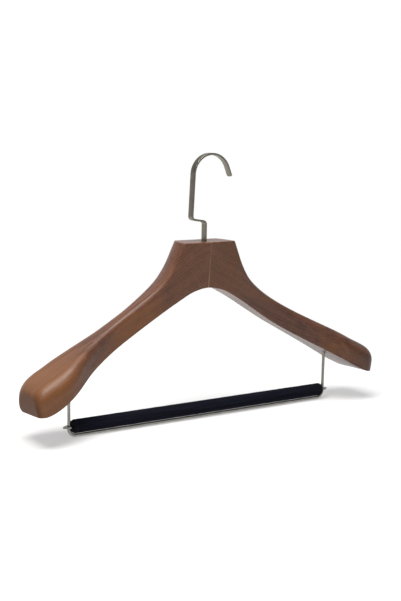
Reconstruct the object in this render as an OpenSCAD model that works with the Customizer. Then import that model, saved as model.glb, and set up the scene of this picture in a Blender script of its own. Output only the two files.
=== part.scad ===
// Contoured two-piece wooden suit hanger with a flat swivel hook and a sliding flocked trouser bar.
// Millimetres, +Z up, +X towards the hook's open side, -Y is the front. The origin is the centre of
// the hook's inner arc, where a rail would lie. Inside the modules the hanger frame is used: the
// hook's stem is the Z axis and Z = 0 is the top face of the neck; place() moves it to the origin.

/* [Wooden arms] */
// Reach of one arm, from the glued centre joint to the shoulder tip
arm_reach = 228; // [190:1:250]
// Height of the arm along its middle
arm_height = 28; // [24:0.5:36]
// Drop from the neck's top face to the lower corner of the shoulder tip
shoulder_drop = 169; // [150:1:190]
// How far the arms stand forward of the stem's axis at the shoulder
shoulder_front = 45; // [34:0.5:48]
// How far the arms stand behind the stem's axis
back_stand = 23.5; // [20:0.5:30]
// How far the front face stands forward of the stem's axis between neck and shoulder
waist_front = 5; // [2:0.5:7]

/* [Neck] */
// Half width of the neck's top face
neck_half = 34; // [28:0.5:40]
// Height of the neck over the crotch, at the centre joint
neck_height = 52.5; // [48:0.5:70]
// How far the neck's foot stands forward of the stem's axis
neck_front = 11; // [8:0.5:13]
// How far the neck leans forward from crotch to top
neck_lean = 5.2; // [0:0.2:8]
// How much the sides of the neck close in towards its back
neck_taper = 6.5; // [0:0.5:10]
// Radius of the shoulder's front top edge
shoulder_round = 17; // [8:0.5:20]
// Radius of the front top edge along the arm
arm_round = 6; // [3:0.5:9]
// Radius of the back top edge from the neck to the shoulder
back_round = 13; // [6:0.5:14]
// Swell of the tip's end face past the end of its underside
tip_bulge = 2.8; // [0:0.1:4]
// Length over which the tip's top rounds down to its end face
tip_round = 23; // [14:0.5:26]
// Inset of the underside's back edge at the shoulder
back_tuck = 4; // [0:0.5:6]
// How much lower the underside's back edge lies than its front edge at the tip
foot_drop = 3; // [0:0.5:4]

/* [Centre joint] */
// Diameter of the joint's dowels
dowel_d = 6; // [5:0.5:7]
// Length of the dowels
dowel_len = 36; // [24:1:44]
// Distance of the dowels behind the stem's axis
dowel_y = 12; // [11:0.5:14]
// Depth of the upper dowel under the neck's top face
dowel_top = 13; // [8:0.5:16]
// Spacing of the two dowels
dowel_pitch = 22; // [14:0.5:24]
// Glue gap round a dowel or a leg, on the radius
glue_gap = 0.05; // [0.02:0.01:0.1]

/* [Hook] */
// Width of the hook's flat strip
strip_w = 8.5; // [7:0.1:9]
// Thickness of the strip
strip_t = 2.4; // [2:0.1:3]
// Radius on the strip's four edges
strip_edge = 0.6; // [0.3:0.1:0.9]
// Inner radius of the hook's arc, round the rail
rail_r = 22.5; // [17:0.5:26]
// Height of the arc's centre over the neck
rail_height = 75; // [62:1:90]
// Offset of the hook's shank from its stem
jog_offset = 18.5; // [12:0.5:24]
// Height of the jog over the neck, at the stem
jog_height = 22.5; // [14:0.5:30]
// Rise of the jog from the stem to the shank, in degrees
jog_rise = 9; // [0:1:15]
// Radius of the jog's two bends, at mid strip
jog_bend = 4; // [3:0.5:5]
// Lean of the shank over the jog, in degrees
shank_lean = 2.7; // [0:0.1:5]
// Angle at which the arc ends over the horizontal, in degrees
tip_angle = 22; // [0:1:30]
// Length of the straight tip
tip_len = 11.5; // [5:0.5:14]
// Radius of the tip's two corners
tip_corner = 2; // [1:0.1:4]
// Diameter of the round stem in the neck
stem_d = 5.8; // [5:0.1:6.4]

/* [Hook bearing] */
// Outer diameter of the bushing
bushing_d = 9; // [8:0.1:10]
// Length of the bushing
bushing_len = 14; // [10:0.5:15]
// Running clearance of the stem in its bushing, on the radius
stem_fit = 0.05; // [0.02:0.01:0.08]
// Gap under the strip and over the washer, so that the hook turns
turn_gap = 0.3; // [0.2:0.05:0.5]
// Diameter of the closed pocket for the nut, half in each arm
pocket_d = 10.6; // [10.2:0.1:11.5]
// Depth of the pocket's roof under the neck's top face
pocket_roof = 16; // [15.5:0.5:18]
// Height of the pocket
pocket_height = 8; // [7.5:0.5:10]
// Diameter of the washer
washer_d = 9.8; // [9:0.1:10]
// Thickness of the washer
washer_t = 1; // [0.8:0.1:1.5]
// Width of the nut across its flats
nut_flats = 8; // [7.5:0.1:8.5]
// Height of the nut
nut_t = 4; // [3:0.5:4.5]

/* [Trouser bar] */
// Distance of the frame's legs from the shoulder tips
leg_inset = 52.5; // [40:0.5:60]
// Drop from the neck's top face to the axis of the frame's bottom wire
frame_drop = 203; // [195:1:225]
// How far the frame hangs forward of the stem's axis
frame_front = 7.7; // [3:0.1:10]
// Diameter of the frame's wire
wire_d = 3.5; // [3:0.1:4]
// Radius of the frame's corners, at the wire's axis
corner_r = 8; // [5:0.5:8.5]
// Length of each leg inside the arm
leg_grip = 14; // [8:0.5:16]
// Diameter of the relieved mouth of a leg's hole
mouth_d = 5; // [4.5:0.1:6]
// Depth of the relieved mouth
mouth_depth = 2; // [1:0.5:4]
// Outer diameter of the flocked bar
bar_d = 15.4; // [14:0.1:18]
// Thickness of the flocked sleeve
sleeve_t = 1.1; // [0.8:0.1:2]
// Wall of the bar's tube
tube_wall = 1; // [0.8:0.1:1.5]
// Gap between the bar and the frame, at its ends and under it
bar_gap = 0.6; // [0.5:0.05:1]
// Length of an end cap's rim
cap_rim = 6; // [5.5:0.5:8]
// Radius of an end cap's outer edge
cap_edge = 5; // [4.8:0.1:5.4]
// Length of an end cap's plug in the tube
cap_plug = 12; // [8:0.5:20]
// Assembly gap between nested parts of the bar, on the radius
nest_gap = 0.05; // [0.02:0.01:0.1]

/* [Sliding eyes] */
// Radius of an eye's flat blade round its leg
eye_r = 4.2; // [3.6:0.1:5]
// Thickness of the blade
eye_t = 2; // [1.6:0.1:2.6]
// Distance of the eye's pointed tip from the leg's axis
eye_tip = 7; // [6:0.1:9]
// Clearance of the eye's hole round the leg, on the radius
eye_gap = 0.3; // [0.2:0.05:0.5]
// Diameter of the eye's shank in the end cap
shank_d = 4; // [3.5:0.1:5]
// Length of the eye's shank in the end cap
shank_len = 10; // [6:0.5:14]
// Web between the shank and the eye's hole
eye_web = 0.8; // [0.6:0.1:1.2]

/* [Hidden] */
$fn = 64;
eps = 0.01;

WOOD = [0.36, 0.23, 0.17];
PALE_WOOD = [0.75, 0.6, 0.42];
NICKEL = [0.6, 0.58, 0.54];
FLOCK = [0.07, 0.08, 0.12];

// ---- outlines of an arm ----
// An outline is a smooth curve through rows [x, value], with the slope at a row taken from its
// neighbours. It starts level, so that the two arms meet in one curve at the centre joint.
function span(x, rows, i = 0) =
    i >= len(rows) - 2 || x < rows[i + 1][0] ? i : span(x, rows, i + 1);
function rise(rows, i, level) =
    let (n = len(rows) - 1)
    i == 0 ? (level ? 0 : (rows[1][1] - rows[0][1]) / (rows[1][0] - rows[0][0]))
    : (rows[min(i + 1, n)][1] - rows[i - 1][1]) / (rows[min(i + 1, n)][0] - rows[i - 1][0]);
function curve(x, rows, level = true) =
    let (i = span(x, rows), a = rows[i], b = rows[i + 1],
         h = b[0] - a[0], u = max(0, min(1, (x - a[0]) / h)),
         p = rise(rows, i, level) * h, q = rise(rows, i + 1, level) * h)
    a[1] * (2 * u * u * u - 3 * u * u + 1) + p * (u * u * u - 2 * u * u + u)
    + b[1] * (3 * u * u - 2 * u * u * u) + q * (u * u * u - u * u);

// Underside: share of the reach, share of the drop from the crotch to the tip's lower corner
UNDERSIDE = [for (r = [[0, 0], [0.09, 0.035], [0.15, 0.093], [0.22, 0.172], [0.31, 0.284],
                       [0.42, 0.418], [0.54, 0.55], [0.67, 0.691], [0.78, 0.817],
                       [0.88, 0.932], [0.95, 0.99], [1, 1]])
             [r[0] * arm_reach, -neck_height - r[1] * (shoulder_drop - neck_height)]];
// Top edge: the neck's flank falls from its corner to the arm, whose height then swells a little
FLANK = [for (r = [[0, 0], [0.1, 0.23], [0.2, 0.46], [0.34, 0.692], [0.5, 0.882]])
         [neck_half + r[0] * neck_height, -r[1] * neck_height]];
HEIGHT = [[0.35, 1.06], [0.45, 1.03], [0.57, 1.035], [0.7, 1.09], [0.81, 1.155], [0.9, 1.18],
          [1, 1.15]];
TOP = concat(FLANK, [for (r = HEIGHT) [r[0] * arm_reach,
                     curve(r[0] * arm_reach, UNDERSIDE) + r[1] * arm_height]]);
// Front face seen from above: a slight dish behind the neck, then the shoulder's forward swell
FRONT = concat(
    [for (r = [[0, 1], [0.15, 0.96], [0.22, 0.83]]) [r[0] * arm_reach, -r[1] * neck_front]],
    [for (r = [[0.31, 1.3], [0.42, 1]]) [r[0] * arm_reach, -r[1] * waist_front]],
    [for (r = [[0.54, 0.191], [0.67, 0.449], [0.78, 0.831], [0.83, 0.942],
               [0.88, 0.998], [0.94, 1.009], [1, 0.984]]) [r[0] * arm_reach, -r[1] * shoulder_front]]);
// Back face seen from above: nearly straight to the tip
BACK = [for (r = [[0, 1.02], [0.15, 0.95], [0.3, 0.87], [0.42, 0.83], [0.54, 0.81], [0.67, 0.83],
                  [0.78, 0.86], [0.86, 0.88], [0.93, 0.86], [1, 0.81]])
        [r[0] * arm_reach, r[1] * back_stand]];
// Radius of the top edges, front and back
ROUND_FRONT = [for (r = [[0, 0.2, 0], [0.158, 0.2, 0], [0.21, 0.55, 0], [0.3, 0.9, 0],
                         [0.45, 1, 0], [0.57, 1, 0.12], [0.7, 0, 0.75], [0.81, 0, 1],
                         [0.92, 0, 0.9], [1, 0, 0.55]])
               [r[0] * arm_reach, r[1] * arm_round + r[2] * shoulder_round]];
ROUND_BACK = [for (r = [[0, 0.09], [0.158, 0.09], [0.21, 0.3], [0.3, 0.62], [0.45, 1],
                        [0.57, 1.15], [0.8, 1.15], [0.92, 1.35], [1, 1.3]])
              [r[0] * arm_reach, r[1] * back_round]];
// The tip is closed by quarter ellipses of [length, depth] on its top, front and back
foot_reach = arm_reach - tip_bulge;
TIP_TOP = [tip_round, 0.63 * tip_round];
TIP_FRONT = [0.46 * tip_round, 0.33 * tip_round];
TIP_BACK = [0.78 * tip_round, 0.63 * tip_round];
function closing(x, tip) =
    let (t = max(0, min(1, (x - foot_reach + tip[0]) / tip[0]))) tip[1] * (1 - sqrt(1 - t * t));
// Lean of an arm's sections: how much further out the top edge lies than the underside
corner_foot = 0.56 * neck_half;
LEAN = [for (r = [[0, 0], [0.15, 0.8], [0.23, 0.62], [0.42, 0.48], [0.67, 0.45],
                  [0.88, 0.42], [0.95, 0.25], [1, 0]])
        [corner_foot + r[0] * (foot_reach - corner_foot),
         r[0] == 0 ? neck_half - corner_foot : r[1] * (neck_half - corner_foot)]];

// Stations along the underside: a few under the neck's top face, then closer towards both ends
neck_steps = 7;
arm_steps = 60;
crowding = 0.9;
STATIONS = concat([for (i = [0 : neck_steps - 1]) corner_foot * i / neck_steps],
                  [for (i = [0 : arm_steps]) let (t = i / arm_steps) corner_foot
                   + (foot_reach - corner_foot) * (t - crowding * sin(360 * t) / (2 * PI))]);

function ease(t) = let (u = max(0, min(1, t))) u * u * (3 - 2 * u);
function top_x(x) = x <= corner_foot ? x * neck_half / corner_foot : x + curve(x, LEAN, false);
function top_z(x) = (x <= neck_half + eps ? 0 : curve(x, TOP, false)) - closing(x, TIP_TOP);
function front_y(x) = curve(min(x, foot_reach), FRONT) + closing(min(x, foot_reach), TIP_FRONT);
function back_y(x) = curve(min(x, foot_reach), BACK) - closing(min(x, foot_reach), TIP_BACK);
// The neck's lean and taper die away along the arm
function neck_share(x) = pow(max(0, 1 - x / (2.4 * neck_half)), 1.2);

// A point of the section at station x: across runs from front to back, up from underside to top
function arm_point(x, across, up) =
    let (xs = x + (top_x(x) - x) * up,
         zb = curve(x, UNDERSIDE) - foot_drop * across * ease((x / foot_reach - 0.92) / 0.08),
         zt = top_z(top_x(x)),
         lean = up * neck_lean * neck_share(xs),
         yf = front_y(xs) - lean, yb = back_y(xs) - lean,
         taper = neck_taper * up * pow(across, 3) * min(1, x / corner_foot)
                 * neck_share(max(0, xs - neck_half)),
         swell = tip_bulge * ease(10 * x / foot_reach - 9) * up * (2 - up))
    [xs - taper + swell, yf + (yb - yf) * across, zb + (zt - zb) * up];

// The section's outline as shares [across, up]: flat underside, upright faces, rounded top edges.
// At the shoulder the back face is drawn in a little towards the underside.
side_steps = 3;
round_steps = 6;
flat_steps = 6;
tuck_height = 14;
function section(x) =
    let (xt = top_x(x), h = top_z(xt) - curve(x, UNDERSIDE), w = back_y(xt) - front_y(xt),
         fy = min(0.48, curve(x, ROUND_FRONT) / w), fz = min(0.8, curve(x, ROUND_FRONT) / h),
         by = min(0.48, curve(x, ROUND_BACK) / w), bz = min(0.8, curve(x, ROUND_BACK) / h),
         tuck = back_tuck * ease((x / foot_reach - 0.6) / 0.3) / w,
         tuck_up = min(1 - bz, tuck_height / h))
    concat([[0, 0], [0.5, 0]],
           [for (i = [0 : side_steps - 1]) let (u = (1 - bz) * i / side_steps)
            [1 - tuck * pow(max(0, 1 - u / tuck_up), 2), u]],
           [for (i = [0 : round_steps]) let (a = 90 * i / round_steps)
            [1 - by * (1 - cos(a)), 1 - bz * (1 - sin(a))]],
           [for (i = [1 : flat_steps - 1]) [1 - by + (fy + by - 1) * i / flat_steps, 1]],
           [for (i = [0 : round_steps]) let (a = 90 * i / round_steps)
            [fy * (1 - sin(a)), 1 - fz * (1 - cos(a))]],
           [for (i = [1 : side_steps - 1]) [0, (1 - fz) * (1 - i / side_steps)]]);
ring = len(section(arm_reach / 2));

// The solid arm, from the centre joint to the tip, before its holes are made
module arm_body() {
    n = len(STATIONS);
    skin = [for (x = STATIONS) for (s = section(x)) arm_point(x, s[0], s[1])];
    last = (n - 1) * ring;
    joint_centre = n * ring;
    tip_centre = joint_centre + 1;
    polyhedron(
        points = concat(skin, [arm_point(0, 0.5, 0.5), arm_point(foot_reach, 0.5, 0.5)]),
        faces = concat(
            [for (j = [0 : ring - 1]) [joint_centre, j, (j + 1) % ring]],
            [for (i = [0 : n - 2]) for (j = [0 : ring - 1])
             let (k = (j + 1) % ring, a = i * ring, b = a + ring) each
             [[a + j, b + j, b + k], [a + j, b + k, a + k]]],
            [for (j = [0 : ring - 1]) [last + j, tip_centre, last + (j + 1) % ring]]),
        convexity = 8);
}

// ---- frame, bar and hook, worked out from the sizes above ----
leg_x = arm_reach - leg_inset;
leg_mouth_z = curve(leg_x, UNDERSIDE);
leg_top_z = leg_mouth_z + leg_grip;
bar_z = -frame_drop + wire_d / 2 + bar_gap + bar_d / 2;
bar_half = leg_x - wire_d / 2 - bar_gap;
eye_root = leg_x - wire_d / 2 - eye_gap - eye_web;
tube_d = bar_d - 2 * sleeve_t - 2 * nest_gap;
tube_bore = tube_d - 2 * tube_wall;
stem_end = -(pocket_roof + turn_gap + washer_t + nut_t + 1);

strip_r = rail_r + strip_t / 2;
shank_foot_z = jog_height + jog_offset * tan(jog_rise);
rail_x = (strip_r + (rail_height - shank_foot_z) * sin(shank_lean)) / cos(shank_lean) - jog_offset;
stem_turn = 90 - jog_rise;
shank_turn = 90 - jog_rise + shank_lean;
jog_len = jog_offset / cos(jog_rise);
shank_reach = norm([rail_x + jog_offset, rail_height - shank_foot_z]);
shank_rise = sqrt(shank_reach * shank_reach - strip_r * strip_r);

module place() {
    translate([-rail_x, 0, -rail_height]) children();
}

module mirrored(left) {
    mirror([left ? 1 : 0, 0, 0]) children();
}

// ---- wooden arms ----
module arm(left) {
    color(WOOD) place() difference() {
        mirrored(left) arm_body();
        // Bushing seat, stem passage and nut pocket, half in each arm
        translate([0, 0, -bushing_len]) cylinder(d = bushing_d + 2 * glue_gap, h = bushing_len + 5);
        translate([0, 0, -pocket_roof - 1]) cylinder(d = stem_d + 2 * turn_gap, h = pocket_roof);
        translate([0, 0, -pocket_roof - pocket_height]) cylinder(d = pocket_d, h = pocket_height);
        for (z = [-dowel_top, -dowel_top - dowel_pitch])
            translate([-dowel_len / 2 - 0.5, dowel_y, z]) rotate([0, 90, 0])
                cylinder(d = dowel_d + 2 * glue_gap, h = dowel_len + 1);
        mirrored(left) translate([leg_x, -frame_front, 0]) {
            translate([0, 0, leg_mouth_z - 10])
                cylinder(d = wire_d + 2 * glue_gap, h = leg_grip + 10.5);
            translate([0, 0, leg_mouth_z - 10]) cylinder(d = mouth_d, h = 10 + mouth_depth);
        }
    }
}

module left_arm() { arm(true); }
module right_arm() { arm(false); }

module dowel(z) {
    color(PALE_WOOD) place() translate([-dowel_len / 2, dowel_y, z]) rotate([0, 90, 0])
        cylinder(d = dowel_d, h = dowel_len);
}

module upper_dowel() { dowel(-dowel_top); }
module lower_dowel() { dowel(-dowel_top - dowel_pitch); }

// ---- hook ----
// Cross-section of the strip: thickness along x, width along y, with rounded edges
module strip_section(less = 0) {
    square([strip_t - less, strip_w - 2 * strip_edge], center = true);
    square([strip_t - 2 * strip_edge, strip_w - less], center = true);
    for (x = [-1, 1], y = [-1, 1])
        translate([x * (strip_t / 2 - strip_edge), y * (strip_w / 2 - strip_edge)])
            circle(r = strip_edge - less / 2, $fn = 32);
}

// A straight run of strip of a given length, from the current point along local +Z. It is a hair
// thinner than the bends and reaches a little way into them, so that all fuse into one body.
run_less = 0.02;
module strip_run(length) {
    translate([0, 0, -0.1]) linear_extrude(length + 0.2) strip_section(run_less);
}

// A bend about a centre to the left (+1) or right (-1) of the strip, turning by angle
module strip_bend(r, angle, side) {
    translate([-side * r, 0, 0]) rotate([90, 0, 0])
        rotate([0, 0, side > 0 ? 0 : 180 - angle])
            rotate_extrude(angle = angle) translate([r, 0]) strip_section();
}

// Moves on past a bend, so that the next piece starts at its end
module after_bend(r, angle, side) {
    translate([-side * r * (1 - cos(angle)), 0, r * sin(angle)])
        rotate([0, -side * angle, 0]) children();
}

stem_set = jog_bend * tan(stem_turn / 2);
shank_set = jog_bend * tan(shank_turn / 2);

module hook() {
    color(NICKEL) place() {
        translate([0, 0, stem_end]) cylinder(d = stem_d, h = turn_gap - stem_end + eps);
        translate([0, 0, turn_gap]) strip_run(jog_height - stem_set - turn_gap);
        translate([0, 0, jog_height - stem_set]) {
            strip_bend(jog_bend, stem_turn, 1);
            after_bend(jog_bend, stem_turn, 1) {
                strip_run(jog_len - stem_set - shank_set);
                translate([0, 0, jog_len - stem_set - shank_set]) {
                    strip_bend(jog_bend, shank_turn, -1);
                    after_bend(jog_bend, shank_turn, -1) {
                        strip_run(shank_rise - shank_set);
                        translate([0, 0, shank_rise - shank_set]) hook_arc();
                    }
                }
            }
        }
    }
}

arc_turn = 180 - shank_lean - tip_angle;

module hook_arc() {
    strip_bend(strip_r, arc_turn, -1);
    after_bend(strip_r, arc_turn, -1) intersection() {
        strip_run(tip_len);
        // The tip's corners are rounded across the strip's width
        rotate([0, 90, 0]) translate([0, 0, -strip_t]) linear_extrude(2 * strip_t) hull() {
            for (y = [-1, 1])
                translate([tip_corner - tip_len, y * (strip_w / 2 - tip_corner)])
                    circle(tip_corner);
            translate([0, -strip_w / 2]) square([1, strip_w]);
        }
    }
}

module hook_bushing() {
    color(NICKEL) place() translate([0, 0, -bushing_len]) difference() {
        cylinder(d = bushing_d, h = bushing_len);
        translate([0, 0, -1]) cylinder(d = stem_d + 2 * stem_fit, h = bushing_len + 2);
    }
}

module hook_washer() {
    color(NICKEL) place() translate([0, 0, -pocket_roof - turn_gap - washer_t]) difference() {
        cylinder(d = washer_d, h = washer_t);
        translate([0, 0, -1]) cylinder(d = stem_d + 2 * stem_fit, h = washer_t + 2);
    }
}

module hook_nut() {
    color(NICKEL) place() translate([0, 0, -pocket_roof - turn_gap - washer_t - nut_t]) difference() {
        cylinder(d = nut_flats / cos(30), h = nut_t, $fn = 6);
        translate([0, 0, -1]) cylinder(d = stem_d, h = nut_t + 2);
    }
}

// ---- trouser bar ----
module frame_leg() {
    translate([leg_x, 0, corner_r]) cylinder(d = wire_d, h = leg_top_z + frame_drop - corner_r);
    translate([leg_x - corner_r, 0, corner_r]) rotate([90, 0, 0]) rotate([0, 0, -90])
        rotate_extrude(angle = 90) translate([corner_r, 0]) circle(d = wire_d);
}

module bar_frame() {
    color(NICKEL) place() translate([0, -frame_front, -frame_drop]) {
        frame_leg();
        mirror([1, 0, 0]) frame_leg();
        translate([corner_r - leg_x, 0, 0]) rotate([0, 90, 0])
            cylinder(d = wire_d, h = 2 * (leg_x - corner_r));
    }
}

// Puts a child that is drawn along +Z on the bar's axis, starting at x
module along_bar(x) {
    place() translate([x, -frame_front, bar_z]) rotate([0, 90, 0]) children();
}

module pipe(outer, inner, length) {
    difference() {
        cylinder(d = outer, h = length);
        translate([0, 0, -1]) cylinder(d = inner, h = length + 2);
    }
}

body_half = bar_half - cap_rim;

module bar_tube() {
    color(NICKEL) along_bar(-body_half) pipe(tube_d, tube_bore, 2 * body_half);
}

module flocked_sleeve() {
    color(FLOCK) along_bar(-body_half) pipe(bar_d, tube_d + 2 * nest_gap, 2 * body_half);
}

// Turned cap: a rim with a rounded outer edge, a plug in the tube and a hole for the eye's shank
module end_cap(left) {
    color(FLOCK) place() mirrored(left) translate([body_half, -frame_front, bar_z])
        rotate([0, 90, 0]) difference() {
            rotate_extrude() {
                square([bar_d / 2, cap_rim - cap_edge]);
                square([bar_d / 2 - cap_edge, cap_rim]);
                translate([bar_d / 2 - cap_edge, cap_rim - cap_edge]) intersection() {
                    circle(r = cap_edge);
                    square(cap_edge);
                }
                translate([0, -cap_plug]) square([tube_bore / 2 - nest_gap, cap_plug]);
            }
            translate([0, 0, eye_root - body_half - shank_len - nest_gap])
                cylinder(d = shank_d + 2 * nest_gap, h = shank_len + 2 * nest_gap);
            // Slot for the blade, which is let into the cap's face
            translate([0, 0, cap_rim + leg_x - bar_half - eye_r - nest_gap])
                translate([-eye_t / 2 - nest_gap, -eye_r - nest_gap, 0])
                    cube([eye_t + 2 * nest_gap, 2 * (eye_r + nest_gap), cap_rim]);
        }
}

module left_end_cap() { end_cap(true); }
module right_end_cap() { end_cap(false); }

// Flattened pierced end that rides on a leg of the frame, with a pointed tip and a round shank
module eye(left) {
    tangent = acos(eye_r / eye_tip);
    color(NICKEL) place() mirrored(left) translate([0, -frame_front, bar_z]) {
        translate([eye_root - shank_len, 0, 0]) rotate([0, 90, 0]) cylinder(d = shank_d, h = shank_len);
        translate([leg_x, 0, -eye_t / 2]) difference() {
            union() {
                cylinder(r = eye_r, h = eye_t);
                linear_extrude(eye_t) polygon([[0, 0], [eye_r * cos(tangent), -eye_r * sin(tangent)],
                    [eye_tip, 0], [eye_r * cos(tangent), eye_r * sin(tangent)]]);
            }
            translate([0, 0, -1]) cylinder(d = wire_d + 2 * eye_gap, h = eye_t + 2);
        }
    }
}

module left_eye() { eye(true); }
module right_eye() { eye(false); }

left_arm();
right_arm();
upper_dowel();
lower_dowel();
hook();
hook_bushing();
hook_washer();
hook_nut();
bar_frame();
bar_tube();
flocked_sleeve();
left_end_cap();
right_end_cap();
left_eye();
right_eye();
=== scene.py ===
"""Wooden suit hanger with a flat swivel hook and a flocked trouser bar, dressed for rendering.

Lengths inside the shape functions are millimetres in the hanger frame: the hook's stem is the Z
axis and Z = 0 is the top face of the neck. to_row() turns them into the row frame's metres.
"""
import math
import bpy
import numpy as np
from mathutils import Matrix


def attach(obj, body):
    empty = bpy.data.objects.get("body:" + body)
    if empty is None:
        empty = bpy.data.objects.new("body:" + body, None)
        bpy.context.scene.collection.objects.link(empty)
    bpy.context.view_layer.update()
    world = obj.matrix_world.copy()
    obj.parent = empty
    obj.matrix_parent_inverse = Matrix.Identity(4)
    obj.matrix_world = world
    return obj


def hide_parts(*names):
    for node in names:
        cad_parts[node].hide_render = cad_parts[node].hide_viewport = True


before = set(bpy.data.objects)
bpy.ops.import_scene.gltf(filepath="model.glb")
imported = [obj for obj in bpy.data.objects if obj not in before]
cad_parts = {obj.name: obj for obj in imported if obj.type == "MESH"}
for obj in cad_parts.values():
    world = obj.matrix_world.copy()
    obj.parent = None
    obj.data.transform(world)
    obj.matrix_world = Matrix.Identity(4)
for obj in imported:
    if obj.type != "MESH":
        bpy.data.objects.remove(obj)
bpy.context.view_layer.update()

RAIL = np.array([7.564, 0.0, 75.0])


def to_row(points):
    """Hanger frame in millimetres to row frame in metres: less the rail's centre, over 1000."""
    return (np.asarray(points, float) - RAIL) / 1000.0


# ---------------------------------------------------------------- camera, floor and light
def stand_camera():
    """A long lens from the front left, a little above, turned a hair clockwise."""
    yaw, pitch, roll = 0.5779, 0.1644, 0.0163
    spot = (-0.69336, -1.0462, 0.0635)
    focal_pixels, frame_pixels, sensor = 1099.65, 401, 36.0
    right = np.array([math.cos(yaw), -math.sin(yaw), 0.0])
    ahead = np.array([math.sin(yaw) * math.cos(pitch), math.cos(yaw) * math.cos(pitch),
                      -math.sin(pitch)])
    up = np.cross(right, ahead)
    turned_right = math.cos(roll) * right + math.sin(roll) * up
    turned_up = math.cos(roll) * up - math.sin(roll) * right
    lens = bpy.data.cameras.new("camera")
    lens.sensor_fit = "HORIZONTAL"
    lens.sensor_width = sensor
    lens.lens = focal_pixels / frame_pixels * sensor
    lens.clip_start, lens.clip_end = 0.05, 30.0
    camera = bpy.data.objects.new("camera", lens)
    place = np.eye(4)
    place[:3, 0], place[:3, 1], place[:3, 2] = turned_right, turned_up, -ahead
    place[:3, 3] = spot
    camera.matrix_world = Matrix(place.tolist())
    bpy.context.scene.collection.objects.link(camera)
    bpy.context.scene.camera = camera


class Nodes:
    """Short forms for building one node tree."""

    def __init__(self, tree):
        self.tree = tree
        tree.nodes.clear()

    def add(self, kind, inputs=None, **settings):
        node = self.tree.nodes.new("ShaderNode" + kind)
        for name, value in settings.items():
            setattr(node, name, value)
        for name, value in (inputs or {}).items():
            self.put(value, node.inputs[name])
        return node

    def put(self, value, socket):
        if isinstance(value, bpy.types.NodeSocket):
            self.tree.links.new(value, socket)
        else:
            socket.default_value = value

    def math(self, operation, a, b=0.0, c=0.0):
        return self.add("Math", {0: a, 1: b, 2: c}, operation=operation).outputs[0]

    def total(self, *shares):
        """Sum of (value, weight) pairs, each value times its weight."""
        value, weight = shares[-1]
        result = self.math("MULTIPLY", value, weight)
        for value, weight in shares[-2::-1]:
            result = self.math("MULTIPLY_ADD", value, weight, result)
        return result

    def part(self, vector, axis):
        return self.add("SeparateXYZ", {0: vector}).outputs[axis]

    def mix(self, share, a, b, how="MIX"):
        node = self.add("Mix", data_type="RGBA", blend_type=how)
        for name, value in (("Factor_Float", share), ("A_Color", a), ("B_Color", b)):
            socket = next(s for s in node.inputs if s.identifier == name)
            self.put(value, socket)
        return next(s for s in node.outputs if s.identifier == "Result_Color")

    def dim(self, colour, value):
        """The colour times a grey value."""
        grey = self.add("CombineColor", {"Red": value, "Green": value, "Blue": value})
        return self.mix(1.0, colour, grey.outputs[0], "MULTIPLY")

    def ramp(self, value, stops):
        node = self.add("ValToRGB", {"Fac": value})
        band = node.color_ramp
        while len(band.elements) < len(stops):
            band.elements.new(0.5)
        for element, (place, colour) in zip(band.elements, stops):
            element.position = place
            element.color = (*colour, 1.0)
        return node.outputs["Color"]

    def spread(self, value, low, high, to_low=0.0, to_high=1.0):
        """Takes low to to_low and high to to_high along a smooth step, level beyond them."""
        return self.add("MapRange", {"Value": value, "From Min": low, "From Max": high,
                                     "To Min": to_low, "To Max": to_high},
                        interpolation_type="SMOOTHSTEP").outputs["Result"]

    def noise(self, vector, scale, detail=2.0, roughness=0.5, distortion=0.0):
        return self.add("TexNoise", {
            "Vector": vector, "Scale": scale, "Detail": detail, "Roughness": roughness,
            "Distortion": distortion}).outputs["Fac"]

    def place(self, vector, turn=(0, 0, 0), stretch=(1, 1, 1), shift=(0, 0, 0)):
        return self.add("Mapping", {"Vector": vector, "Rotation": turn, "Scale": stretch,
                                    "Location": shift}, vector_type="POINT").outputs["Vector"]

    def object_space(self):
        return self.add("TexCoord").outputs["Object"]

    def bump(self, height, strength, distance):
        return self.add("Bump", {"Height": height, "Strength": strength,
                                 "Distance": distance}).outputs[0]


def new_material(name):
    """A material and the short forms for its node tree."""
    material = bpy.data.materials.new(name)
    material.use_nodes = True
    return material, Nodes(material.node_tree)


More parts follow.
